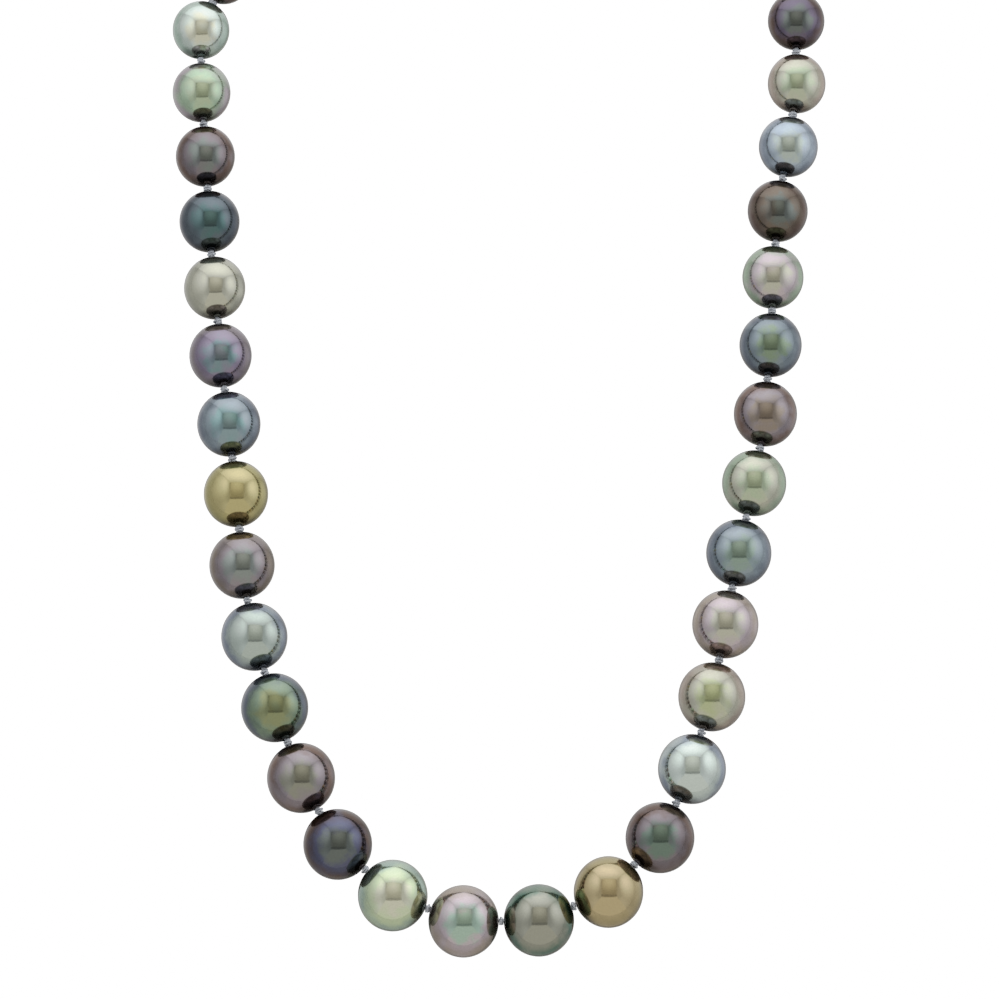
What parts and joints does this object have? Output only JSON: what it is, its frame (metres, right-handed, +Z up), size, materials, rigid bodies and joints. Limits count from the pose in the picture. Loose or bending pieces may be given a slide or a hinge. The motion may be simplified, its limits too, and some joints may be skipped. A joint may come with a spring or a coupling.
{
  "type": "pearl necklace",
  "caption": "Graduated strand of round dark lustrous pearls, each knotted on silk, closed at the back by a lobster claw clasp.",
  "frame": {"origin": "centre of the loop's footprint, on the flat surface that the necklace lies on", "axes": "+Z up from the surface; +Y from the largest pearls at the front to the clasp at the back; +X to the right of someone looking down with the front nearest"},
  "size_m": [0.1052, 0.211, 0.011],
  "materials": {
    "pearl_lavender": "gloss",
    "pearl_silver_cream": "gloss",
    "pearl_violet_black": "gloss",
    "pearl_taupe_rose": "gloss",
    "pearl_bottle_green": "gloss",
    "pearl_silver_blue": "gloss",
    "pearl_aubergine": "gloss",
    "pearl_olive_gold": "gloss",
    "pearl_slate_blue": "gloss",
    "pearl_peacock": "gloss",
    "pearl_champagne": "gloss",
    "pearl_steel_blue": "gloss",
    "pearl_graphite": "gloss",
    "pearl_pistachio": "gloss",
    "pearl_silver_green": "gloss",
    "pearl_teal": "gloss",
    "pearl_beige_rose": "gloss",
    "silk": "satin",
    "white_gold": "polished",
    "spring_steel": "satin",
    "french_wire": "gloss"
  },
  "bodies": {
    "pearl_left_01": {"pearl_left_01": "pearl_lavender", "silk_thread": "silk"},
    "pearl_left_02": {"pearl_left_02": "pearl_silver_cream"},
    "pearl_left_03": {"pearl_left_03": "pearl_violet_black"},
    "pearl_left_04": {"pearl_left_04": "pearl_taupe_rose"},
    "pearl_left_05": {"pearl_left_05": "pearl_bottle_green"},
    "pearl_left_06": {"pearl_left_06": "pearl_silver_blue"},
    "pearl_left_07": {"pearl_left_07": "pearl_aubergine"},
    "pearl_left_08": {"pearl_left_08": "pearl_olive_gold"},
    "pearl_left_09": {"pearl_left_09": "pearl_slate_blue"},
    "pearl_left_10": {"pearl_left_10": "pearl_peacock"},
    "pearl_left_11": {"pearl_left_11": "pearl_champagne"},
    "pearl_left_12": {"pearl_left_12": "pearl_steel_blue"},
    "pearl_left_13": {"pearl_left_13": "pearl_graphite"},
    "pearl_left_14": {"pearl_left_14": "pearl_pistachio"},
    "pearl_left_15": {"pearl_left_15": "pearl_silver_green"},
    "pearl_left_16": {"pearl_left_16": "pearl_graphite"},
    "pearl_left_17": {"pearl_left_17": "pearl_silver_blue"},
    "pearl_left_18": {"pearl_left_18": "pearl_bottle_green"},
    "pearl_left_19": {"pearl_left_19": "pearl_champagne"},
    "pearl_left_20": {"pearl_left_20": "pearl_aubergine"},
    "pearl_left_21": {"pearl_left_21": "pearl_slate_blue"},
    "pearl_left_22": {"pearl_left_22": "pearl_pistachio"},
    "pearl_right_01": {"pearl_right_01": "pearl_teal"},
    "pearl_right_02": {"pearl_right_02": "pearl_olive_gold"},
    "pearl_right_03": {"pearl_right_03": "pearl_aubergine"},
    "pearl_right_04": {"pearl_right_04": "pearl_silver_blue"},
    "pearl_right_05": {"pearl_right_05": "pearl_champagne"},
    "pearl_right_06": {"pearl_right_06": "pearl_beige_rose"},
    "pearl_right_07": {"pearl_right_07": "pearl_slate_blue"},
    "pearl_right_08": {"pearl_right_08": "pearl_pistachio"},
    "pearl_right_09": {"pearl_right_09": "pearl_taupe_rose"},
    "pearl_right_10": {"pearl_right_10": "pearl_peacock"},
    "pearl_right_11": {"pearl_right_11": "pearl_beige_rose"},
    "pearl_right_12": {"pearl_right_12": "pearl_graphite"},
    "pearl_right_13": {"pearl_right_13": "pearl_silver_blue"},
    "pearl_right_14": {"pearl_right_14": "pearl_silver_cream"},
    "pearl_right_15": {"pearl_right_15": "pearl_violet_black"},
    "pearl_right_16": {"pearl_right_16": "pearl_champagne"},
    "pearl_right_17": {"pearl_right_17": "pearl_steel_blue"},
    "pearl_right_18": {"pearl_right_18": "pearl_lavender"},
    "pearl_right_19": {"pearl_right_19": "pearl_olive_gold"},
    "pearl_right_20": {"pearl_right_20": "pearl_taupe_rose"},
    "pearl_right_21": {"pearl_right_21": "pearl_silver_cream"},
    "pearl_right_22": {"pearl_right_22": "pearl_peacock", "wire_loop_right": "french_wire"},
    "clasp_claw": {"clasp_claw": "white_gold", "clasp_pin": "white_gold", "clasp_spring": "spring_steel"},
    "clasp_trigger": {"clasp_trigger": "white_gold"},
    "clasp_jump_ring": {"clasp_jump_ring": "white_gold"},
    "end_ring": {"end_ring": "white_gold"},
    "wire_loop_left": {"wire_loop_left": "french_wire"}
  },
  "joints": [
    {"name": "knot_front", "type": "hinge", "parent": "pearl_left_01", "child": "pearl_right_01", "pos_m": [0.0004, -0.10079, 0.00547], "axis": [1, 0, 0], "range_deg": [-35, 35], "stiffness_Nm_per_rad": 0.002, "deforming": ["silk_thread"]},
    {"name": "knot_left_01", "type": "hinge", "parent": "pearl_left_01", "child": "pearl_left_02", "pos_m": [-0.01136, -0.09893, 0.00545], "axis": [1, 0, 0], "range_deg": [-35, 35], "stiffness_Nm_per_rad": 0.002, "deforming": ["silk_thread"]},
    {"name": "knot_left_02", "type": "hinge", "parent": "pearl_left_02", "child": "pearl_left_03", "pos_m": [-0.02152, -0.09258, 0.00541], "axis": [-1, 0, 0], "range_deg": [-35, 35], "stiffness_Nm_per_rad": 0.002, "deforming": ["silk_thread"]},
    {"name": "knot_left_03", "type": "hinge", "parent": "pearl_left_03", "child": "pearl_left_04", "pos_m": [-0.02849, -0.08274, 0.00536], "axis": [-1, 0, 0], "range_deg": [-35, 35], "stiffness_Nm_per_rad": 0.002, "deforming": ["silk_thread"]},
    {"name": "knot_left_04", "type": "hinge", "parent": "pearl_left_04", "child": "pearl_left_05", "pos_m": [-0.03312, -0.07158, 0.00531], "axis": [-1, 0, 0], "range_deg": [-35, 35], "stiffness_Nm_per_rad": 0.002, "deforming": ["silk_thread"]},
    {"name": "knot_left_05", "type": "hinge", "parent": "pearl_left_05", "child": "pearl_left_06", "pos_m": [-0.03696, -0.06023, 0.00525], "axis": [-1, 0, 0], "range_deg": [-35, 35], "stiffness_Nm_per_rad": 0.002, "deforming": ["silk_thread"]},
    {"name": "knot_left_06", "type": "hinge", "parent": "pearl_left_06", "child": "pearl_left_07", "pos_m": [-0.03971, -0.04869, 0.0052], "axis": [1, 0, 0], "range_deg": [-35, 35], "stiffness_Nm_per_rad": 0.002, "deforming": ["silk_thread"]},
    {"name": "knot_left_07", "type": "hinge", "parent": "pearl_left_07", "child": "pearl_left_08", "pos_m": [-0.0411, -0.03702, 0.00513], "axis": [1, 0, 0], "range_deg": [-35, 35], "stiffness_Nm_per_rad": 0.002, "deforming": ["silk_thread"]},
    {"name": "knot_left_08", "type": "hinge", "parent": "pearl_left_08", "child": "pearl_left_09", "pos_m": [-0.04195, -0.02543, 0.00507], "axis": [1, 0, 0], "range_deg": [-35, 35], "stiffness_Nm_per_rad": 0.002, "deforming": ["silk_thread"]},
    {"name": "knot_left_09", "type": "hinge", "parent": "pearl_left_09", "child": "pearl_left_10", "pos_m": [-0.0436, -0.01405, 0.005], "axis": [1, 0, 0], "range_deg": [-35, 35], "stiffness_Nm_per_rad": 0.002, "deforming": ["silk_thread"]},
    {"name": "knot_left_10", "type": "hinge", "parent": "pearl_left_10", "child": "pearl_left_11", "pos_m": [-0.04481, -0.00275, 0.00494], "axis": [-1, 0, 0], "range_deg": [-35, 35], "stiffness_Nm_per_rad": 0.002, "deforming": ["silk_thread"]},
    {"name": "knot_left_11", "type": "hinge", "parent": "pearl_left_11", "child": "pearl_left_12", "pos_m": [-0.04574, 0.00843, 0.00486], "axis": [-1, 0, 0], "range_deg": [-35, 35], "stiffness_Nm_per_rad": 0.002, "deforming": ["silk_thread"]},
    {"name": "knot_left_12", "type": "hinge", "parent": "pearl_left_12", "child": "pearl_left_13", "pos_m": [-0.04673, 0.01946, 0.00479], "axis": [-1, 0, 0], "range_deg": [-35, 35], "stiffness_Nm_per_rad": 0.002, "deforming": ["silk_thread"]},
    {"name": "knot_left_13", "type": "hinge", "parent": "pearl_left_13", "child": "pearl_left_14", "pos_m": [-0.04735, 0.03036, 0.00471], "axis": [-1, 0, 0], "range_deg": [-35, 35], "stiffness_Nm_per_rad": 0.002, "deforming": ["silk_thread"]},
    {"name": "knot_left_14", "type": "hinge", "parent": "pearl_left_14", "child": "pearl_left_15", "pos_m": [-0.04817, 0.04108, 0.00463], "axis": [1, 0, 0], "range_deg": [-35, 35], "stiffness_Nm_per_rad": 0.002, "deforming": ["silk_thread"]},
    {"name": "knot_left_15", "type": "hinge", "parent": "pearl_left_15", "child": "pearl_left_16", "pos_m": [-0.04757, 0.05158, 0.00454], "axis": [1, 0, 0], "range_deg": [-35, 35], "stiffness_Nm_per_rad": 0.002, "deforming": ["silk_thread"]},
    {"name": "knot_left_16", "type": "hinge", "parent": "pearl_left_16", "child": "pearl_left_17", "pos_m": [-0.04134, 0.05978, 0.00446], "axis": [1, 0, 0], "range_deg": [-35, 35], "stiffness_Nm_per_rad": 0.002, "deforming": ["silk_thread"]},
    {"name": "knot_left_17", "type": "hinge", "parent": "pearl_left_17", "child": "pearl_left_18", "pos_m": [-0.04016, 0.06989, 0.00436], "axis": [1, 0, 0], "range_deg": [-35, 35], "stiffness_Nm_per_rad": 0.002, "deforming": ["silk_thread"]},
    {"name": "knot_left_18", "type": "hinge", "parent": "pearl_left_18", "child": "pearl_left_19", "pos_m": [-0.03821, 0.07975, 0.00427], "axis": [-1, 0, 0], "range_deg": [-35, 35], "stiffness_Nm_per_rad": 0.002, "deforming": ["silk_thread"]},
    {"name": "knot_left_19", "type": "hinge", "parent": "pearl_left_19", "child": "pearl_left_20", "pos_m": [-0.03465, 0.08893, 0.00417], "axis": [-1, 0, 0], "range_deg": [-35, 35], "stiffness_Nm_per_rad": 0.002, "deforming": ["silk_thread"]},
    {"name": "knot_left_20", "type": "hinge", "parent": "pearl_left_20", "child": "pearl_left_21", "pos_m": [-0.02891, 0.09664, 0.00408], "axis": [-1, 0, 0], "range_deg": [-35, 35], "stiffness_Nm_per_rad": 0.002, "deforming": ["silk_thread"]},
    {"name": "knot_left_21", "type": "hinge", "parent": "pearl_left_21", "child": "pearl_left_22", "pos_m": [-0.02033, 0.10047, 0.00397], "axis": [-1, 0, 0], "range_deg": [-35, 35], "stiffness_Nm_per_rad": 0.002, "deforming": ["silk_thread"]},
    {"name": "knot_right_01", "type": "hinge", "parent": "pearl_right_01", "child": "pearl_right_02", "pos_m": [0.0121, -0.09862, 0.00545], "axis": [1, 0, 0], "range_deg": [-35, 35], "stiffness_Nm_per_rad": 0.002, "deforming": ["silk_thread"]},
    {"name": "knot_right_02", "type": "hinge", "parent": "pearl_right_02", "child": "pearl_right_03", "pos_m": [0.02191, -0.09176, 0.00541], "axis": [-1, 0, 0], "range_deg": [-35, 35], "stiffness_Nm_per_rad": 0.002, "deforming": ["silk_thread"]},
    {"name": "knot_right_03", "type": "hinge", "parent": "pearl_right_03", "child": "pearl_right_04", "pos_m": [0.02817, -0.08145, 0.00536], "axis": [-1, 0, 0], "range_deg": [-35, 35], "stiffness_Nm_per_rad": 0.002, "deforming": ["silk_thread"]},
    {"name": "knot_right_04", "type": "hinge", "parent": "pearl_right_04", "child": "pearl_right_05", "pos_m": [0.03206, -0.07001, 0.00531], "axis": [-1, 0, 0], "range_deg": [-35, 35], "stiffness_Nm_per_rad": 0.002, "deforming": ["silk_thread"]},
    {"name": "knot_right_05", "type": "hinge", "parent": "pearl_right_05", "child": "pearl_right_06", "pos_m": [0.03463, -0.05831, 0.00525], "axis": [-1, 0, 0], "range_deg": [-35, 35], "stiffness_Nm_per_rad": 0.002, "deforming": ["silk_thread"]},
    {"name": "knot_right_06", "type": "hinge", "parent": "pearl_right_06", "child": "pearl_right_07", "pos_m": [0.03657, -0.0466, 0.0052], "axis": [1, 0, 0], "range_deg": [-35, 35], "stiffness_Nm_per_rad": 0.002, "deforming": ["silk_thread"]},
    {"name": "knot_right_07", "type": "hinge", "parent": "pearl_right_07", "child": "pearl_right_08", "pos_m": [0.0391, -0.03513, 0.00513], "axis": [1, 0, 0], "range_deg": [-35, 35], "stiffness_Nm_per_rad": 0.002, "deforming": ["silk_thread"]},
    {"name": "knot_right_08", "type": "hinge", "parent": "pearl_right_08", "child": "pearl_right_09", "pos_m": [0.04159, -0.02377, 0.00507], "axis": [1, 0, 0], "range_deg": [-35, 35], "stiffness_Nm_per_rad": 0.002, "deforming": ["silk_thread"]},
    {"name": "knot_right_09", "type": "hinge", "parent": "pearl_right_09", "child": "pearl_right_10", "pos_m": [0.0429, -0.01235, 0.005], "axis": [1, 0, 0], "range_deg": [-35, 35], "stiffness_Nm_per_rad": 0.002, "deforming": ["silk_thread"]},
    {"name": "knot_right_10", "type": "hinge", "parent": "pearl_right_10", "child": "pearl_right_11", "pos_m": [0.04351, -0.00101, 0.00494], "axis": [-1, 0, 0], "range_deg": [-35, 35], "stiffness_Nm_per_rad": 0.002, "deforming": ["silk_thread"]},
    {"name": "knot_right_11", "type": "hinge", "parent": "pearl_right_11", "child": "pearl_right_12", "pos_m": [0.04397, 0.0102, 0.00486], "axis": [-1, 0, 0], "range_deg": [-35, 35], "stiffness_Nm_per_rad": 0.002, "deforming": ["silk_thread"]},
    {"name": "knot_right_12", "type": "hinge", "parent": "pearl_right_12", "child": "pearl_right_13", "pos_m": [0.0453, 0.02119, 0.00479], "axis": [-1, 0, 0], "range_deg": [-35, 35], "stiffness_Nm_per_rad": 0.002, "deforming": ["silk_thread"]},
    {"name": "knot_right_13", "type": "hinge", "parent": "pearl_right_13", "child": "pearl_right_14", "pos_m": [0.04756, 0.03187, 0.00471], "axis": [-1, 0, 0], "range_deg": [-35, 35], "stiffness_Nm_per_rad": 0.002, "deforming": ["silk_thread"]},
    {"name": "knot_right_14", "type": "hinge", "parent": "pearl_right_14", "child": "pearl_right_15", "pos_m": [0.04816, 0.0426, 0.00463], "axis": [1, 0, 0], "range_deg": [-35, 35], "stiffness_Nm_per_rad": 0.002, "deforming": ["silk_thread"]},
    {"name": "knot_right_15", "type": "hinge", "parent": "pearl_right_15", "child": "pearl_right_16", "pos_m": [0.0477, 0.05318, 0.00454], "axis": [1, 0, 0], "range_deg": [-35, 35], "stiffness_Nm_per_rad": 0.002, "deforming": ["silk_thread"]},
    {"name": "knot_right_16", "type": "hinge", "parent": "pearl_right_16", "child": "pearl_right_17", "pos_m": [0.04629, 0.0635, 0.00446], "axis": [1, 0, 0], "range_deg": [-35, 35], "stiffness_Nm_per_rad": 0.002, "deforming": ["silk_thread"]},
    {"name": "knot_right_17", "type": "hinge", "parent": "pearl_right_17", "child": "pearl_right_18", "pos_m": [0.04394, 0.07347, 0.00436], "axis": [1, 0, 0], "range_deg": [-35, 35], "stiffness_Nm_per_rad": 0.002, "deforming": ["silk_thread"]},
    {"name": "knot_right_18", "type": "hinge", "parent": "pearl_right_18", "child": "pearl_right_19", "pos_m": [0.04043, 0.08288, 0.00427], "axis": [-1, 0, 0], "range_deg": [-35, 35], "stiffness_Nm_per_rad": 0.002, "deforming": ["silk_thread"]},
    {"name": "knot_right_19", "type": "hinge", "parent": "pearl_right_19", "child": "pearl_right_20", "pos_m": [0.03548, 0.0914, 0.00417], "axis": [-1, 0, 0], "range_deg": [-35, 35], "stiffness_Nm_per_rad": 0.002, "deforming": ["silk_thread"]},
    {"name": "knot_right_20", "type": "hinge", "parent": "pearl_right_20", "child": "pearl_right_21", "pos_m": [0.02851, 0.09803, 0.00408], "axis": [-1, 0, 0], "range_deg": [-35, 35], "stiffness_Nm_per_rad": 0.002, "deforming": ["silk_thread"]},
    {"name": "knot_right_21", "type": "hinge", "parent": "pearl_right_21", "child": "pearl_right_22", "pos_m": [0.01947, 0.10064, 0.00397], "axis": [-1, 0, 0], "range_deg": [-35, 35], "stiffness_Nm_per_rad": 0.002, "deforming": ["silk_thread"]},
    {"name": "clasp_swing", "type": "hinge", "parent": "pearl_right_22", "child": "clasp_claw", "pos_m": [0.00899, 0.10063, 0.00392], "axis": [0, 0, 1], "range_deg": [-25, 25]},
    {"name": "jump_ring_spin", "type": "hinge", "parent": "clasp_claw", "child": "clasp_jump_ring", "pos_m": [0.00656, 0.10063, 0.003], "axis": [0, 1, 0], "continuous": true},
    {"name": "end_ring_spin", "type": "hinge", "parent": "clasp_claw", "child": "end_ring", "pos_m": [-0.00744, 0.10063, 0.003], "axis": [0, 1, 0], "continuous": true},
    {"name": "trigger_press", "type": "hinge", "parent": "clasp_claw", "child": "clasp_trigger", "pos_m": [0.00081, 0.10288, 0.0027], "axis": [0, 0, 1], "range_deg": [0, 16], "stiffness_Nm_per_rad": 0.001, "springref_deg": -28.65},
    {"name": "wire_loop_swing", "type": "hinge", "parent": "clasp_claw", "child": "wire_loop_left", "pos_m": [-0.00987, 0.10063, 0.00392], "axis": [0, 0, 1], "range_deg": [-20, 20]}
  ]
}
